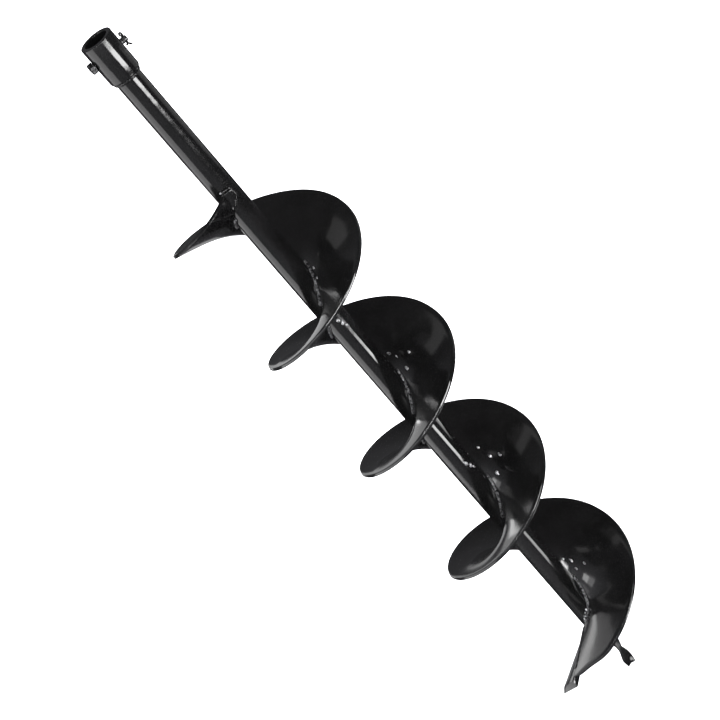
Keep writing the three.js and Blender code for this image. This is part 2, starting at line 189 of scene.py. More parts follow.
def add_range(nodes, links, value, low, high):
    spread = nodes.new("ShaderNodeMapRange")
    spread.inputs["From Min"].default_value = 0.3
    spread.inputs["From Max"].default_value = 0.7
    spread.inputs["To Min"].default_value = low
    spread.inputs["To Max"].default_value = high
    links.new(value, spread.inputs["Value"])
    return spread.outputs["Result"]


def add_bump(nodes, links, height, distance, strength, below=None):
    bump = nodes.new("ShaderNodeBump")
    bump.inputs["Distance"].default_value = distance
    bump.inputs["Strength"].default_value = strength
    links.new(height, bump.inputs["Height"])
    if below is not None:
        links.new(below, bump.inputs["Normal"])
    return bump.outputs["Normal"]


def grey(level):
    return (level, level, level * 1.03)


def black_paint(name, peel_scale, peel_strength, rough_low, rough_high,
                wave_scale=45, wave_strength=0.10):
    """Sprayed gloss black: orange peel, slow waves, patches of dust and duller gloss, specks."""
    material, nodes, links, shader = node_tree(name)
    coordinates = nodes.new("ShaderNodeTexCoord")
    patches = add_noise(nodes, links, coordinates, scale=28, detail=5, roughness=0.6)
    specks = add_noise(nodes, links, coordinates, scale=1500, detail=2, roughness=0.7)
    base = add_ramp(nodes, links, patches, [(0.3, grey(0.0018)), (0.7, grey(0.0034))])
    dust = add_ramp(nodes, links, specks, [(0.66, grey(0.0)), (0.74, grey(0.012))])
    colour = nodes.new("ShaderNodeMix")
    colour.data_type = "RGBA"
    colour.blend_type = "ADD"
    colour.inputs["Factor"].default_value = 1.0
    links.new(base, colour.inputs["A"])
    links.new(dust, colour.inputs["B"])
    links.new(colour.outputs["Result"], shader.inputs["Base Color"])
    rough = add_range(nodes, links, patches, rough_low, rough_high)
    links.new(rough, shader.inputs["Roughness"])
    wave = add_noise(nodes, links, coordinates, wave_scale, detail=1)
    waves = add_bump(nodes, links, wave, distance=0.0006, strength=wave_strength)
    peel = add_noise(nodes, links, coordinates, peel_scale, detail=2)
    peel = add_bump(nodes, links, peel, distance=0.0002, strength=peel_strength, below=waves)
    links.new(peel, shader.inputs["Normal"])
    shader.inputs["IOR"].default_value = 1.52
    return material


def worn_steel(name, dark, light):
    """Steel with a fine turned grain, dark in some patches and rubbed lighter in others."""
    material, nodes, links, shader = node_tree(name)
    coordinates = nodes.new("ShaderNodeTexCoord")
    patches = add_noise(nodes, links, coordinates, scale=420, detail=2, roughness=0.6)
    grain = add_noise(nodes, links, coordinates, scale=2600, detail=2, roughness=0.6)
    colour = add_ramp(nodes, links, patches, [(0.35, grey(dark)), (0.65, grey(light))])
    links.new(colour, shader.inputs["Base Color"])
    rough = add_range(nodes, links, patches, 0.2, 0.42)
    links.new(rough, shader.inputs["Roughness"])
    bumps = add_bump(nodes, links, grain, distance=0.00005, strength=0.35)
    links.new(bumps, shader.inputs["Normal"])
    shader.inputs["Metallic"].default_value = 0.85
    return material


def floor_paint(name):
    """A plain pale floor with the faintest mottling."""
    material, nodes, links, shader = node_tree(name)
    coordinates = nodes.new("ShaderNodeTexCoord")
    mottle = add_noise(nodes, links, coordinates, scale=3, detail=4)
    colour = add_ramp(nodes, links, mottle, [(0.3, grey(0.90)), (0.7, grey(0.93))])
    links.new(colour, shader.inputs["Base Color"])
    shader.inputs["Roughness"].default_value = 0.9
    shader.inputs["Specular IOR Level"].default_value = 0.1
    return material


paint = black_paint("gloss_black_paint", peel_scale=420, peel_strength=0.10,
                    rough_low=0.08, rough_high=0.15)
tube_paint = black_paint("paint_on_tube", peel_scale=420, peel_strength=0.12,
                         rough_low=0.08, rough_high=0.15, wave_scale=90, wave_strength=0.16)
collar_paint = black_paint("paint_on_collar", peel_scale=420, peel_strength=0.12,
                           rough_low=0.08, rough_high=0.16, wave_scale=110, wave_strength=0.32)
weld_paint = black_paint("painted_weld", peel_scale=900, peel_strength=0.55,
                         rough_low=0.10, rough_high=0.24)
pin_steel = worn_steel("worn_pin_steel", dark=0.012, light=0.10)
wire_steel = worn_steel("dark_wire_steel", dark=0.006, light=0.04)
spatter_steel = worn_steel("rubbed_spatter", dark=0.02, light=0.6)
rubbed_weld = worn_steel("rubbed_weld", dark=0.004, light=0.13)


# ---- mesh helpers -----------------------------------------------------------------------

def add_object(name, data):
    obj = bpy.data.objects.new(name, data)
    bpy.context.scene.collection.objects.link(obj)
    return obj


def make_object(name, points, faces, material, scale=MM):
    mesh = bpy.data.meshes.new(name)
    mesh.from_pydata([Vector(point) * scale for point in points], [], faces)
    mesh.materials.append(material)
    return add_object(name, mesh)


def clean(obj, sharp_degrees):
    """Merges doubled points, turns every face outwards and smooths below an angle."""
    shape = bmesh.new()
    shape.from_mesh(obj.data)
    bmesh.ops.remove_doubles(shape, verts=shape.verts, dist=1e-6)
    bmesh.ops.recalc_face_normals(shape, faces=shape.faces)
    shape.to_mesh(obj.data)
    shape.free()
    obj.data.shade_smooth()
    obj.data.set_sharp_from_angle(angle=sharp_degrees * DEG)


def finish_piece(obj, body, slot, *replaced, sharp_degrees=SHARP):
    """Cleans a piece, puts it on its body and hides the CAD nodes it stands in for. slot is not
    used.
    """
    clean(obj, sharp_degrees)
    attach(obj, body)
    if replaced:
        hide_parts(*replaced)
    return obj


def ladder_cap(first, count, flip):
    """Faces that close a ring made of a row out and a row back."""
    faces = []
    for i in range(count // 2 - 1):
        j = count - 1 - i
        face = (first + i, first + i + 1, first + j - 1, first + j)
        faces.append(face[::-1] if flip else face)
    return faces


def loft(rings, closed=False):
    """Points and faces of a solid through equal rings; closed joins the last to the first."""
    count = len(rings[0])
    points = [point for ring in rings for point in ring]
    total = len(rings)
    faces = []
    for ring in range(total if closed else total - 1):
        here = ring * count
        there = (ring + 1) % total * count
        for i in range(count):
            j = (i + 1) % count
            faces.append((here + i, here + j, there + j, there + i))
    if not closed:
        faces += ladder_cap(0, count, True)
        faces += ladder_cap((total - 1) * count, count, False)
    return points, faces


def together(shapes):
    """Points and faces of several shapes as one."""
    points = []
    faces = []
    for more_points, more_faces in shapes:
        faces += [tuple(len(points) + index for index in face) for face in more_faces]
        points += more_points
    return points, faces


def turned(profile, segments):
    """A ring or solid turned about Z from a closed list of (radius, z)."""
    rings = []
    for step in range(segments):
        turn = 2 * math.pi * step / segments
        rings.append([Vector((r * math.cos(turn), r * math.sin(turn), z)) for r, z in profile])
    return loft(rings, closed=True)


def arc(centre_r, centre_z, radius, start, end, steps=5):
    """Points of a rounded corner in a (radius, z) profile; angles from +r towards +z."""
    return [(centre_r + radius * math.cos((start + (end - start) * i / steps) * DEG),
             centre_z + radius * math.sin((start + (end - start) * i / steps) * DEG))
            for i in range(steps + 1)]


def combine(obj, tool, operation="DIFFERENCE"):
    """Applies a boolean to obj and deletes the tool."""
    modifier = obj.modifiers.new("combine", "BOOLEAN")
    modifier.operation = operation
    modifier.solver = "EXACT"
    modifier.object = tool
    bpy.context.view_layer.update()
    evaluated = obj.evaluated_get(bpy.context.evaluated_depsgraph_get())
    mesh = bpy.data.meshes.new_from_object(evaluated)
    obj.modifiers.clear()
    obj.data = mesh
    bpy.data.objects.remove(tool)


def drill(radius, length, matrix):
    """A cutter for a round hole along its own Z, placed by matrix (millimetres)."""
    profile = [(0, -length / 2), (radius, -length / 2), (radius, length / 2), (0, length / 2)]
    points, faces = turned(profile, 40)
    tool = make_object("drill", [matrix @ point for point in points], faces, pin_steel)
    clean(tool, SHARP)
    return tool


def share_between(value, low, high):
    return min(1.0, max(0.0, (value - low) / (high - low)))


def smoothstep(value, low, high):
    share = share_between(value, low, high)
    return share * share * (3 - 2 * share)


# ---- the helix --------------------------------------------------------------------------

INNER = TUBE_RADIUS + GAP
HUG_RADIUS = INNER + THICKNESS / 2


def full_radius(angle):
    return TOP_RADIUS + RIM_GROWTH * angle / 360


def rim_radius(angle):
    free = share_between(angle, TONGUE_END, FREE_ANGLE)
    cut = RIM_CUT * smoothstep(angle, RIM_CUT_START, RIM_CUT_END)
    return HUG_RADIUS + (full_radius(angle) - HUG_RADIUS) * math.sin(free * math.pi / 2) - cut


def inner_radius(angle):
    return INNER + THICKNESS / 2 * (1 - smoothstep(angle, TONGUE_END, FREE_ANGLE))


def section_ends(angle):
    """(radius, height) of the sheet's cross-section beside the tube and at the rim."""
    turns = angle / 360
    left = 1 - share_between(angle, FLIGHT_START, FREE_ANGLE)
    lead = max(0.0, (turns - LEAD_TURN) / (LAST_TURN - LEAD_TURN))
    rim_height = (RIM_START_Z - TOP_PITCH * turns - PITCH_GROWTH * turns ** 2 / 2
                  - LEAD_DROP * lead ** 2)
    flattening = FLAT_RATE * max(0.0, turns - FLAT_TURN) ** FLAT_CURVE
    cup = TOP_CUP + CUP_GROWTH * turns - flattening
    rim = rim_radius(angle)
    across = 1.0 if left > 0 else (rim - INNER) / (full_radius(angle) - INNER)
    foot = rim_height - cup
    foot_drop = TONGUE_FOOT_DROP * left ** TONGUE_FOOT_CURVE
    rim_drop = TONGUE_TOP_DROP * left ** TONGUE_TOP_CURVE - RIM_LIFT * math.sin(left * math.pi)
    return (inner_radius(angle), foot - foot_drop), (rim, foot + cup * across - rim_drop)


def mid_surface(angle, share):
    """The sheet's middle at a share of the way from the tube to the rim."""
    inner, outer = section_ends(angle)
    radius = inner[0] + (outer[0] - inner[0]) * share
    turn = angle * DEG
    return Vector((-radius * math.sin(turn), -radius * math.cos(turn),
                   inner[1] + (outer[1] - inner[1]) * share))


def share_at(angle, radius):
    """The share of the way out at which the sheet reaches a radius."""
    inner, outer = section_ends(angle)
    return (radius - inner[0]) / (outer[0] - inner[0])


def up_normal(angle, share):
    along = mid_surface(angle + 0.5, share) - mid_surface(angle - 0.5, share)
    out = mid_surface(angle, share + 0.01) - mid_surface(angle, share - 0.01)
    return along.cross(out).normalized()


def flight_point(angle, share, above):
    return mid_surface(angle, share) + up_normal(angle, share) * above


def sheet_wave(angle, radius):
    """The formed sheet's slow dents, fading out at the tube and at the cutter plate."""
    place = Vector((angle * 0.022, radius * 0.035, 4.2))
    fade = smoothstep(radius, INNER, INNER + 18) * (1 - smoothstep(angle, 1430, 1480))
    return SHEET_WAVE * fade * noise.noise(place)


# ---- collar and tube --------------------------------------------------------------------

def collar_profile():
    foot = -COLLAR_LENGTH
    return (
        [(TUBE_RADIUS + 0.05, foot + 0.6)]
        + arc(COLLAR_RADIUS - 2.6, foot + 2.6, 2.6, -90, 0, 8)
        + arc(COLLAR_RADIUS - 0.5, -0.5, 0.5, 0, 90, 5)
        + arc(SOCKET_RADIUS + 0.8, -0.8, 0.8, 90, 180, 5)
        + [(SOCKET_RADIUS, -SOCKET_DEPTH), (TUBE_RADIUS + 0.05, -SOCKET_DEPTH)]
    )


def pin_matrix():
    """The cross pin's frame: +X along the pin towards the split pin."""
    return Matrix.Translation((0, 0, PIN_HEIGHT)) @ Matrix.Rotation(PIN_TURN * DEG, 4, "Z")


def drive_collar():
    points, faces = turned(collar_profile(), 160)
    collar = make_object("collar", points, faces, collar_paint)
    clean(collar, SHARP)
    across = pin_matrix() @ Matrix.Rotation(math.pi / 2, 4, "Y")
    combine(collar, drill(PIN_HOLE_RADIUS, 60, across))
    return finish_piece(collar, "auger", "gloss_black", "drive_collar")


def shaft_tube():
    top = -SOCKET_DEPTH - 0.3
    profile = (
        arc(TUBE_RADIUS - 0.4, TUBE_END + 0.4, 0.4, -90, 0, 4)
        + [(TUBE_RADIUS, top + (TUBE_END - top) * i / 24) for i in range(23, 0, -1)]
        + [(TUBE_RADIUS, top), (TUBE_BORE, top)]
        + arc(TUBE_BORE + 0.3, TUBE_END + 0.3, 0.3, 180, 270, 3)
    )
    points, faces = turned(profile, 120)
    return finish_piece(make_object("tube", points, faces, tube_paint), "auger", "gloss_black",
                        "shaft_tube")


# ---- flight -----------------------------------------------------------------------------

def flight_section(angle):
    """One cross-section of the sheet: out along the top, round the rim, back underneath."""
    inner, outer = section_ends(angle)
    width = math.hypot(outer[0] - inner[0], outer[1] - inner[1])
    half = THICKNESS / 2
    first = -0.5 * smoothstep(angle, TONGUE_END, FREE_ANGLE) / width
    last = 1 - RIM_FILLET / width
    shares = [first + (last - first) * i / FLIGHT_SPANS for i in range(FLIGHT_SPANS + 1)]
    corner = [(last + RIM_FILLET * math.sin(turn * DEG) / width,
               half - RIM_FILLET + RIM_FILLET * math.cos(turn * DEG)) for turn in (30, 60, 90)]
    top = [(share, half) for share in shares] + corner
    row = top + [(share, -above) for share, above in reversed(top)]
    ring = []
    for share, above in row:
        radius = inner[0] + (outer[0] - inner[0]) * share
        ring.append(flight_point(angle, share, above + sheet_wave(angle, radius)))
    return ring


def flight():
    steps = math.ceil((FLIGHT_END - FLIGHT_START) / FLIGHT_STEP)
    rings = [flight_section(FLIGHT_START + (FLIGHT_END - FLIGHT_START) * i / steps)
             for i in range(steps + 1)]
    points, faces = loft(rings)
    return finish_piece(
        make_object("flight", points, faces, paint), "auger", "gloss_black",
        "flight_turn_1", "flight_turn_2", "flight_turn_3", "flight_turn_4", "flight_lead")


# ---- weld beads -------------------------------------------------------------------------

def resample(path, spacing):
    """The path as evenly spaced points, with the way along it at each."""
    lengths = [0.0]
    for here, there in zip(path, path[1:]):
        lengths.append(lengths[-1] + (there - here).length)
    count = max(6, round(lengths[-1] / spacing))
    result = []
    piece = 0
    for i in range(count + 1):
        target = lengths[-1] * i / count
        while piece < len(path) - 2 and lengths[piece + 1] < target:
            piece += 1
        share = (target - lengths[piece]) / (lengths[piece + 1] - lengths[piece])
        result.append((path[piece].lerp(path[piece + 1], share), target))
    return result, lengths[-1]


def bead(name, path, out_at, half_width, height, ripple, closed=False, material=weld_paint):
    """A weld bead along a path. out_at(point) is the way it crowns; ripple is 0 to 1. Its
    name seeds its lumps, so each bead differs and stays the same from run to run."""
    stations, length = resample(path, BEAD_SPACING)
    if closed:
        stations = stations[:-1]
    seed = sum(ord(letter) for letter in name) * 0.37
    rings = []
    for i, (point, along) in enumerate(stations):
        before = stations[i - 1][0] if closed or i > 0 else point
        after = stations[(i + 1) % len(stations)][0] if closed or i + 1 < len(stations) else point
        way = (after - before).normalized()
        out = out_at(point)
        side = way.cross(out).normalized()
        wander = noise.noise(Vector((along * 0.35, seed, 0)))
        end = 1.0 if closed else min(1.0, (min(along, length - along) + 0.15) / half_width)
        size = math.sqrt(max(0.04, 1 - (1 - end) ** 2)) * (1 + 0.28 * wander)
        ring = []
        for k in range(BEAD_SIDES):
            turn = 2 * math.pi * k / BEAD_SIDES
            phase = along / RIPPLE_PITCH + 0.35 * math.cos(turn) ** 2 + 0.3 * wander
            lump = noise.noise(Vector((along * 0.9, seed + math.cos(turn), math.sin(turn))))
            swell = 1 + ripple * (0.16 * math.cos(2 * math.pi * phase) + 0.22 * lump)
            ring.append(point + side * (math.cos(turn) * half_width * size)
                        + out * (math.sin(turn) * height * size * swell))
        rings.append(ring)
    points, faces = loft(rings, closed)
    return make_object(name, points, faces, material)


def radial(point):
    """Straight out from the shaft's middle."""
    return Vector((point.x, point.y, 0)).normalized()


def edge_point(angle, side):
    """Where the flight's upper (1) or lower (-1) face meets the tube."""
    share = share_at(angle, TUBE_RADIUS + 0.4)
    return flight_point(angle, share, side * (THICKNESS / 2 + 0.2))


def stitch(name, start, end, side, node):
    """A bead between the flight and the tube, on the upper (1) or lower (-1) face."""
    steps = max(3, round((end - start) / 4))
    path = [edge_point(start + (end - start) * i / steps, side) for i in range(steps + 1)]

    def out_at(point):
        return (radial(point) + Vector((0, 0, side * 0.9))).normalized()

    piece = bead(name, path, out_at, half_width=STITCH_SIZE, height=STITCH_SIZE, ripple=1.0,
                 material=rubbed_weld)
    return finish_piece(piece, "auger", "weld_black", node, sharp_degrees=WELD_SHARP)


def tongue_edge(angle, share, ahead=0.0):
    """A point on the tube just clear of the tongue's lower (0) or upper (1) edge."""
    def flat(at):
        return Vector((at * DEG * TUBE_RADIUS, mid_surface(at, share).z))

    along = (flat(angle + 0.5) - flat(angle - 0.5)).normalized()
    across = Vector((-along.y, along.x)) * (share * 2 - 1)
    place = flat(angle) + across * 0.9 + along * ahead
    turn = place.x / TUBE_RADIUS
    radius = TUBE_RADIUS + 0.3
    return Vector((-radius * math.sin(turn), -radius * math.cos(turn), place.y))


def start_bead():
    """Wraps round the end of the tongue, from its lower edge to its upper one."""
    path = [tongue_edge(FLIGHT_START + 8 * i, 0) for i in range(4, -1, -1)]
    path += [tongue_edge(FLIGHT_START, 0, -0.9), tongue_edge(FLIGHT_START, 1, -0.9)]
    path += [tongue_edge(FLIGHT_START + 8 * i, 1) for i in range(5)]
    piece = bead("start_bead", path, radial, half_width=1.6, height=1.7, ripple=1.0)
    return finish_piece(piece, "auger", "weld_black", "start_weld", sharp_degrees=WELD_SHARP)


def collar_bead():
    height = -COLLAR_LENGTH - 0.7
    reach = TUBE_RADIUS + 0.3
    path = [Vector((reach * math.cos(2 * math.pi * i / 90), reach * math.sin(2 * math.pi * i / 90),
                    height)) for i in range(91)]

    def out_at(point):
        return (radial(point) + Vector((0, 0, -0.5))).normalized()

    piece = bead("collar_bead", path, out_at, half_width=1.5, height=1.0, ripple=0.8,
                 closed=True)
    return finish_piece(piece, "auger", "weld_black", "collar_weld", sharp_degrees=WELD_SHARP)


def cutter_bead():
    """Ground nearly flush over the joint between the flight and the cutter plate."""
    angle = FLIGHT_END + 0.4
    path = [flight_point(angle, share_at(angle, 14 + 44 * i / 10), THICKNESS / 2 - 0.1)
            for i in range(11)]

    def out_at(point):
        return up_normal(angle, share_at(angle, math.hypot(point.x, point.y)))

    piece = bead("cutter_bead", path, out_at, half_width=2.4, height=0.8, ripple=0.35)
    return finish_piece(piece, "auger", "weld_black", "cutter_weld", sharp_degrees=WELD_SHARP)


def blob(centre, out, along, size, seed):
    """One lumpy drop of weld metal; size is its length, width and height."""
    length, width, height = size
    side = along.cross(out)
    rings = []
    for i in range(11):
        polar = math.pi * (i + 0.15) / 10.3
        ring = []
        for k in range(BEAD_SIDES):
            turn = 2 * math.pi * k / BEAD_SIDES
            offset = Vector((math.cos(polar), math.sin(polar) * math.cos(turn),
                             math.sin(polar) * math.sin(turn)))
            lump = 1 + 0.35 * noise.noise(offset * 1.6 + Vector((seed, seed * 0.7, 0)))
            ring.append(centre + (along * offset.x * length / 2 + side * offset.y * width / 2
                                  + out * offset.z * height) * lump)
        rings.append(ring)
    return loft(rings)


def spatter(name, blobs):
    """Small drops of weld metal, rubbed bright, as one piece."""
    points, faces = together(blobs)
    piece = make_object(name, points, faces, spatter_steel)
    return finish_piece(piece, "auger", "weld_black", sharp_degrees=WELD_SHARP)


def tube_blob(angle, z, length, width, height, lean):
    """On the tube, at a helix angle; lean is how far its length turns from upright."""
    turn = angle * DEG
    out = Vector((-math.sin(turn), -math.cos(turn), 0))
    across = Vector((-math.cos(turn), math.sin(turn), 0))
    along = Vector((0, 0, 1)) * math.cos(lean * DEG) + across * math.sin(lean * DEG)
    centre = out * (TUBE_RADIUS - 0.1) + Vector((0, 0, z))
    return blob(centre, out, along, (length, width, height), angle)


def sheet_blob(angle, radius, length, width):
    """On the flight's upper face, lying along it."""
    share = share_at(angle, radius)
    out = up_normal(angle, share)
    along = (mid_surface(angle + 0.5, share) - mid_surface(angle - 0.5, share)).normalized()
    centre = flight_point(angle, share, THICKNESS / 2 - 0.1)
    return blob(centre, out, along, (length, width, 0.9), angle)


# ---- cutter plate -----------------------------------------------------------------------

def cutter_rows():
    """The plate's four long edges, each as a function of the share of the way out."""
    reach = CUTTER_OUTER_RADIUS - CUTTER_INNER_RADIUS

    def back(share, above, flare):
        radius = CUTTER_INNER_RADIUS + (reach + flare) * share
        angle = FLIGHT_END + 0.35 / radius / DEG
        return flight_point(angle, share_at(angle, radius), above)

    def lead(share, ahead, drop, flare):
        radius = CUTTER_INNER_RADIUS + (reach + flare) * share
        turn = CUTTER_LEAD * DEG + ahead / radius
        z = LEAD_INNER_Z + (LEAD_OUTER_Z - LEAD_INNER_Z) * share - drop
        return Vector((-radius * math.sin(turn), -radius * math.cos(turn), z))

    top = THICKNESS / 2
    return (
        lambda share: back(share, top, 0),
        lambda share: lead(share, 0, 0, 0),
        lambda share: lead(share, BEVEL_AHEAD, BEVEL_DROP, CUTTER_FLARE),
        lambda share: back(share, top - CUTTER_THICKNESS, CUTTER_FLARE),
    )


def cutter_plate():
    rows = cutter_rows()
    rings = [[row(i / 8) for row in rows] for i in range(9)]
    points, faces = loft(rings)
    plate = make_object("cutter", points, faces, paint)
    clean(plate, SHARP)
    shape = bmesh.new()
    shape.from_mesh(plate.data)
    edges = [edge for edge in shape.edges
             if len(edge.link_faces) == 2 and edge.calc_face_angle() > 25 * DEG]
    bmesh.ops.bevel(shape, geom=edges, offset=0.45 * MM, segments=2, profile=0.5,
                    affect="EDGES", clamp_overlap=True)
    shape.to_mesh(plate.data)
    shape.free()
    return finish_piece(plate, "auger", "gloss_black", "cutter_plate",
                        sharp_degrees=EDGE_SHARP)


# ---- pilot ------------------------------------------------------------------------------

def pilot_section(along, notch):
    """A flat bar's section with rounded edges, turned and narrowed by its place."""
    taper = max(0.0, (along - 0.82) / 0.18)
    half = (PILOT_WIDTH + (PILOT_END_WIDTH - PILOT_WIDTH) * taper) / 2
    thick = PILOT_THICKNESS / 2 * (1 - 0.35 * along)
    turn = PILOT_TWIST * (1 - along) * DEG
    z = TUBE_END - 0.3 + (PILOT_END - TUBE_END + 0.3) * along
    edge = min(0.9, thick * 0.6)
    row = []
    for share in (-1, -0.97, -0.85, -0.5, 0, 0.5, 0.85, 0.97, 1):
        inside = (1 - abs(share)) * half
        drop = edge - math.sqrt(max(0.0, edge ** 2 - (edge - min(inside, edge)) ** 2))
        row.append((share * half, thick - drop))
    section = row + [(u, -v) for u, v in reversed(row)]
    return [Vector((u * math.cos(turn) - v * math.sin(turn),
                    u * math.sin(turn) + v * math.cos(turn),
                    z + notch * (1 - abs(u) / half))) for u, v in section]


def pilot():
    """The twisted blade, notched at its end, and the stub that plugs the tube."""
    rings = [pilot_section(i / 70, PILOT_NOTCH * smoothstep(i, 63, 70)) for i in range(71)]
    stub_profile = (
        [(0, TUBE_END + STUB_LENGTH), (STUB_RADIUS, TUBE_END + STUB_LENGTH),
         (STUB_RADIUS, TUBE_END + 0.2)]
        + arc(STUB_RADIUS - 1.6, TUBE_END + 0.2, 1.6, 0, -70, 4)
        + [(0, TUBE_END - 1.8)]
    )
    points, faces = together([loft(rings), turned(stub_profile, 64)])
    return finish_piece(make_object("pilot", points, faces, collar_paint), "auger", "gloss_black",
                        "pilot_point")


# ---- cross pin and split pin ------------------------------------------------------------

def cross_pin():
    """Hexagon head with a turned crown, a plain shank and a cross hole for the split pin."""
    frame_of_pin = pin_matrix()
    along = frame_of_pin @ Matrix.Rotation(math.pi / 2, 4, "Y")
    corner = PIN_HEAD_FLATS / math.sqrt(3)
    outline = [Vector((corner * math.cos(i * math.pi / 3), corner * math.sin(i * math.pi / 3), 0))
               for i in range(6)]
    base = -PIN_SEAT
    rings = [[along @ (point + Vector((0, 0, level))) for point in outline]
             for level in (base, base - PIN_HEAD_HEIGHT)]
    points, faces = loft(rings)
    head = make_object("pin", points, faces, pin_steel)
    clean(head, PIN_SHARP)
    flats = PIN_HEAD_FLATS / 2
    crown_profile = [
        (0, base), (flats * 1.06, base), (flats * 1.22, base - 0.5),
        (flats * 1.22, base - PIN_HEAD_HEIGHT + 0.9), (flats * 0.92, base - PIN_HEAD_HEIGHT + 0.1),
        (flats * 0.84, base - PIN_HEAD_HEIGHT), (0, base - PIN_HEAD_HEIGHT),
    ]
    points, faces = turned(crown_profile, 48)
    crown = make_object("crown", [along @ point for point in points], faces, pin_steel)
    clean(crown, PIN_SHARP)
    combine(head, crown, "INTERSECT")
    shank_profile = [
        (0, base - 1), (PIN_RADIUS, base - 1), (PIN_RADIUS, PIN_TAIL - 0.9),
        (PIN_RADIUS - 0.25, PIN_TAIL - 0.3), (PIN_RADIUS - 0.9, PIN_TAIL), (0, PIN_TAIL),
    ]
    points, faces = turned(shank_profile, 48)
    shank = make_object("shank", [along @ point for point in points], faces, pin_steel)
    clean(shank, PIN_SHARP)
    combine(head, shank, "UNION")
    hole = frame_of_pin @ Matrix.Translation((SPLIT_X, 0, 0))
    combine(head, drill(SPLIT_HOLE_RADIUS, 12, hole))
    return finish_piece(head, "cross_pin", "dark_steel", "cross_pin", sharp_degrees=EDGE_SHARP)


def sweep(path, radii, sides=12):
    """A round wire along a path in the XZ plane, with its radius at each point."""
    rings = []
    for i, point in enumerate(path):
        way = (path[min(i + 1, len(path) - 1)] - path[max(i - 1, 0)]).normalized()
        side = Vector((0, 1, 0))
        up = way.cross(side).normalized()
        shrink = 0.75 if i in (0, len(path) - 1) else 1.0
        rings.append([point + (side * math.cos(2 * math.pi * k / sides)
                               + up * math.sin(2 * math.pi * k / sides)) * radii[i] * shrink
                      for k in range(sides)])
    return loft(rings)


def split_pin():
    """One wire: up one leg, round the eye, down the other, with both legs bent apart."""
    eye_z = SPLIT_TOP + EYE_RADIUS + WIRE_RADIUS
    knee_z = SPLIT_BOTTOM - 0.4

    def leg(sign, length, bend):
        knee = Vector((sign * WIRE_RADIUS, 0, knee_z))
        half_way = Vector((math.sin(bend * DEG / 2), 0, -math.cos(bend * DEG / 2)))
        way = Vector((math.sin(bend * DEG), 0, -math.cos(bend * DEG)))
        middle = knee + half_way * 0.5
        return [knee, middle] + [middle + way * (length * i / 4) for i in range(1, 5)]

    left = leg(-1, 1.6, -62)
    right = leg(1, 2.8, 52)
    loop = [Vector((-EYE_RADIUS * math.sin(turn * DEG), 0,
                    eye_z - EYE_RADIUS * math.cos(turn * DEG))) for turn in range(36, 325, 12)]
    neck = [Vector((sign * WIRE_RADIUS, 0, SPLIT_TOP - 0.4)) for sign in (-1, 1)]
    path = left[::-1] + [neck[0]] + loop + [neck[1]] + right
    leg_radii = [WIRE_RADIUS] + [THICK_WIRE_RADIUS] * (len(right) - 1)
    loop_radii = [WIRE_RADIUS] + [THICK_WIRE_RADIUS] * len(loop) + [WIRE_RADIUS]
    radii = leg_radii[::-1] + loop_radii + leg_radii
    points, faces = sweep(path, radii)
    place = pin_matrix() @ Matrix.Translation((SPLIT_X, 0, 0))
    place = place @ Matrix.Rotation(SPLIT_TURN * DEG, 4, "Z")
    piece = make_object("clip", [place @ point for point in points], faces, wire_steel)
    return finish_piece(piece, "split_pin", "dark_steel", "split_pin",
                        sharp_degrees=WIRE_SHARP)


# ---- build ------------------------------------------------------------------------------

drive_collar()
shaft_tube()
flight()
collar_bead()
start_bead()
for turn_number in range(4):
    front = 360 * turn_number
    label = str(turn_number + 1)
    upper_start, upper_end = LAST_UPPER_STITCH if turn_number == 3 else UPPER_STITCH
    lower_start, lower_end = LOWER_STITCH
    stitch("upper_bead_" + label, front + upper_start, front + upper_end, 1,
           "upper_weld_" + label)
    stitch("lower_bead_" + label, front + lower_start, front + lower_end, -1,
           "lower_weld_" + label)
cutter_plate()
cutter_bead()
pilot()
cross_pin()
split_pin()
spatter("start_tacks", [
    tube_blob(19, -155.5, 3.4, 2.8, 1.3, 60),
    tube_blob(-15, -156.5, 3.6, 2.6, 1.5, -15),
    tube_blob(-14, -165.5, 3.4, 2.8, 1.4, 30),
])
spatter("upper_spatter", [
    tube_blob(-4, -308, 4.2, 2.8, 1.5, 20),
    tube_blob(-12, -312, 5.0, 2.6, 1.6, -25),
    tube_blob(-22, -317, 4.0, 2.4, 1.4, 15),
])
spatter("lower_spatter", [
    tube_blob(-20, -497, 5.2, 2.8, 1.6, 10),
    tube_blob(-32, -502, 4.6, 3.0, 1.6, -20),
    tube_blob(-42, -506, 3.8, 2.6, 1.4, 25),
])
spatter("tip_spatter", [
    tube_blob(-2, -706.5, 3.8, 2.2, 1.2, 15),
    tube_blob(9, -708.5, 3.4, 2.6, 1.5, -35),
    tube_blob(22, -711.5, 3.6, 2.4, 1.4, 40),
    tube_blob(34, -714.5, 3.2, 2.4, 1.3, -20),
])
spatter("sheet_spatter", [
    sheet_blob(290, 15, 3.0, 1.6), sheet_blob(308, 14.5, 2.6, 1.5),
    sheet_blob(599, 17, 3.6, 2.2), sheet_blob(613, 19, 2.4, 1.6),
    sheet_blob(627, 29, 3.0, 2.2), sheet_blob(640, 19, 4.4, 3.0),
    sheet_blob(954, 26, 3.0, 2.2), sheet_blob(975, 25, 4.6, 2.4),
    sheet_blob(987, 32, 4.0, 2.6), sheet_blob(1001, 20, 4.4, 3.2),
    sheet_blob(1316, 17, 3.4, 2.2), sheet_blob(1330, 20, 4.4, 2.6),
    sheet_blob(1344, 18, 3.2, 2.0), sheet_blob(1350, 27, 3.4, 2.4),
])


# ---- studio -----------------------------------------------------------------------------

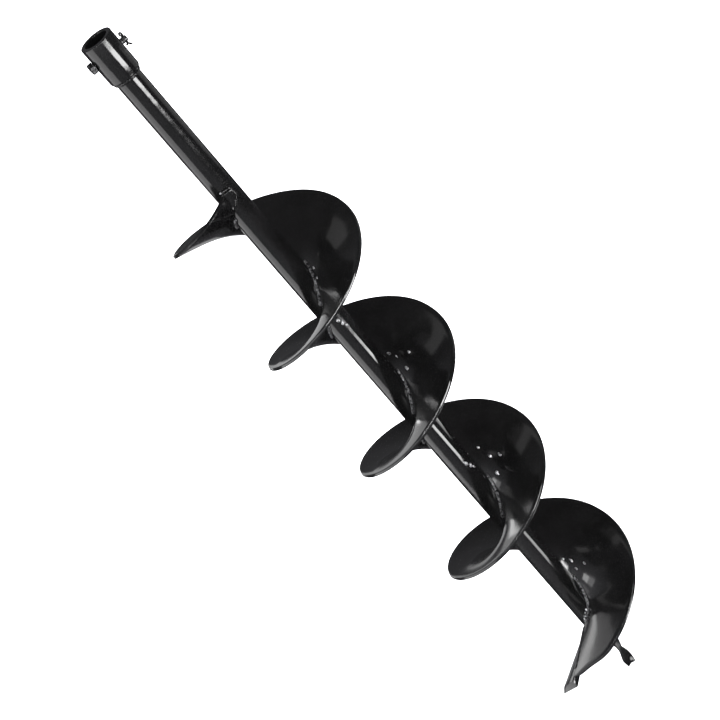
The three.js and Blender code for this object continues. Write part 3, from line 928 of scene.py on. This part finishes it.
def aimed(location, target, roll_degrees=0.0):
    """A matrix for a camera or lamp at location that looks at target."""
    ahead = (Vector(target) - Vector(location)).normalized()
    right = ahead.cross(Vector((0, 0, 1))).normalized()
    up = right.cross(ahead)
    roll = roll_degrees * DEG
    rolled_right = right * math.cos(roll) - up * math.sin(roll)
    rolled_up = right * math.sin(roll) + up * math.cos(roll)
    matrix = Matrix((rolled_right, rolled_up, -ahead)).transposed().to_4x4()
    matrix.translation = Vector(location)
    return matrix


def softbox(name, azimuths, distance, bottom, top, brightness, only_glossy=False):
    """An upright soft box facing the shaft. azimuths are its two sides, in degrees from the
    camera's side (-Y) towards +X; distance and heights in metres; a white wall is 1 bright."""
    middle = (azimuths[0] + azimuths[1]) / 2 * DEG
    width = 2 * distance * math.tan((azimuths[1] - azimuths[0]) / 2 * DEG)
    height = (top + bottom) / 2
    lamp = bpy.data.lights.new(name, "AREA")
    lamp.shape = "RECTANGLE"
    lamp.size = width
    lamp.size_y = top - bottom
    lamp.energy = brightness * math.pi * width * (top - bottom)
    obj = add_object(name, lamp)
    place = (distance * math.sin(middle), -distance * math.cos(middle), height)
    obj.matrix_world = aimed(place, (0, 0, height))
    obj.visible_camera = False
    obj.visible_diffuse = not only_glossy


def overhead_fill(size, height, brightness):
    """Lights the floor evenly from above, and is not seen in the paint."""
    lamp = bpy.data.lights.new("overhead_fill", "AREA")
    lamp.shape = "SQUARE"
    lamp.size = size
    lamp.energy = brightness * math.pi * size ** 2
    obj = add_object("overhead_fill", lamp)
    obj.location = (0, 0, height)
    obj.visible_camera = False
    obj.visible_glossy = False


def floor():
    corners = [(x * FLOOR_SIZE, y * FLOOR_SIZE, FLOOR_Z)
               for x, y in ((-1, -1), (1, -1), (1, 1), (-1, 1))]
    obj = make_object("floor", corners, [(0, 1, 2, 3)], floor_paint("pale_floor"), scale=1)
    obj.visible_glossy = False


def backdrop():
    """A plain pale wall far round the floor, only there for a camera that sees the horizon."""
    sides = 64
    radius = FLOOR_SIZE * 0.97
    points = []
    for height in (FLOOR_Z, BACKDROP_TOP):
        points += [(radius * math.cos(2 * math.pi * i / sides),
                    radius * math.sin(2 * math.pi * i / sides), height) for i in range(sides)]
    faces = [(i, (i + 1) % sides, sides + (i + 1) % sides, sides + i) for i in range(sides)]
    material, _, _, shader = node_tree("pale_backdrop")
    shader.inputs["Base Color"].default_value = (0.9, 0.9, 0.9, 1)
    shader.inputs["Emission Color"].default_value = (1, 1, 1, 1)
    shader.inputs["Emission Strength"].default_value = 1.0
    obj = make_object("backdrop", points, faces, material, scale=1)
    obj.visible_diffuse = False
    obj.visible_glossy = False
    obj.visible_transmission = False
    obj.visible_shadow = False


def world_light():
    """Palest a little above the horizon, dark overhead, and dimmer away from BRIGHT_SIDE."""
    world = bpy.data.worlds.new("studio")
    world.use_nodes = True
    nodes = world.node_tree.nodes
    links = world.node_tree.links
    coordinates = nodes.new("ShaderNodeTexCoord")
    parts = nodes.new("ShaderNodeSeparateXYZ")
    links.new(coordinates.outputs["Generated"], parts.inputs["Vector"])
    height = nodes.new("ShaderNodeMapRange")
    height.inputs["From Min"].default_value = -1.0
    links.new(parts.outputs["Z"], height.inputs["Value"])
    bands = add_ramp(nodes, links, height.outputs["Result"],
                     [(place, grey(level)) for place, level in WORLD_BANDS])
    facing = nodes.new("ShaderNodeVectorMath")
    facing.operation = "DOT_PRODUCT"
    facing.inputs[1].default_value = BRIGHT_SIDE
    links.new(coordinates.outputs["Generated"], facing.inputs[0])
    turn = add_ramp(nodes, links, facing.outputs["Value"], [(0.25, grey(0.2)), (0.75, grey(1.0))])
    colour = nodes.new("ShaderNodeMix")
    colour.data_type = "RGBA"
    colour.blend_type = "MULTIPLY"
    colour.inputs["Factor"].default_value = 1.0
    links.new(bands, colour.inputs["A"])
    links.new(turn, colour.inputs["B"])
    links.new(colour.outputs["Result"], nodes["Background"].inputs["Color"])
    bpy.context.scene.world = world


def camera():
    lens = bpy.data.cameras.new("camera")
    lens.sensor_width = 36.0
    lens.lens = CAMERA_LENS
    lens.shift_x, lens.shift_y = CAMERA_SHIFT
    lens.clip_end = 100
    obj = add_object("camera", lens)
    obj.matrix_world = aimed(CAMERA_PLACE, CAMERA_TARGET, CAMERA_ROLL)
    bpy.context.scene.camera = obj


floor()
backdrop()
world_light()
softbox("right_strip_upper", (20, 50), 1.2, -0.50, -0.23, 18)
softbox("right_strip_lower", (25, 49), 1.2, -1.30, -0.99, 14)
softbox("right_strip_foot", (25, 49), 1.2, -1.75, -1.30, 7)
softbox("left_panel", (-118, -57), 4.0, -3.40, -0.46, 1.95)
softbox("front_left_band", (-80, -5), 4.0, -0.46, 0.25, 0.9)
softbox("rear_left_card", (-177, -143), 1.0, -0.72, -0.38, 0.6)
softbox("rear_left_low", (-180, -140), 1.0, -1.15, -0.85, 0.5)
softbox("rear_left_bright", (-168, -143), 0.98, -0.64, -0.53, 2.0)
softbox("rear_left_high", (-148, -112), 1.5, 1.35, 3.2, 0.45)
softbox("right_side_card", (84, 138), 1.2, -0.64, -0.37, 0.45)
softbox("rear_right_panel", (95, 150), 1.2, -1.35, -1.15, 2.0)
softbox("upper_left_box", (-60, -40), 2.0, 0.02, 0.55, 5.7)
softbox("upper_left_halo", (-80, -60), 2.0, 0.02, 0.62, 2.0)
softbox("spark_band", (-25, 25), 8.0, 0.75, 1.05, 45, only_glossy=True)
overhead_fill(size=60.0, height=3.0, brightness=3.2)
camera()
bpy.context.scene.view_settings.view_transform = "Standard"
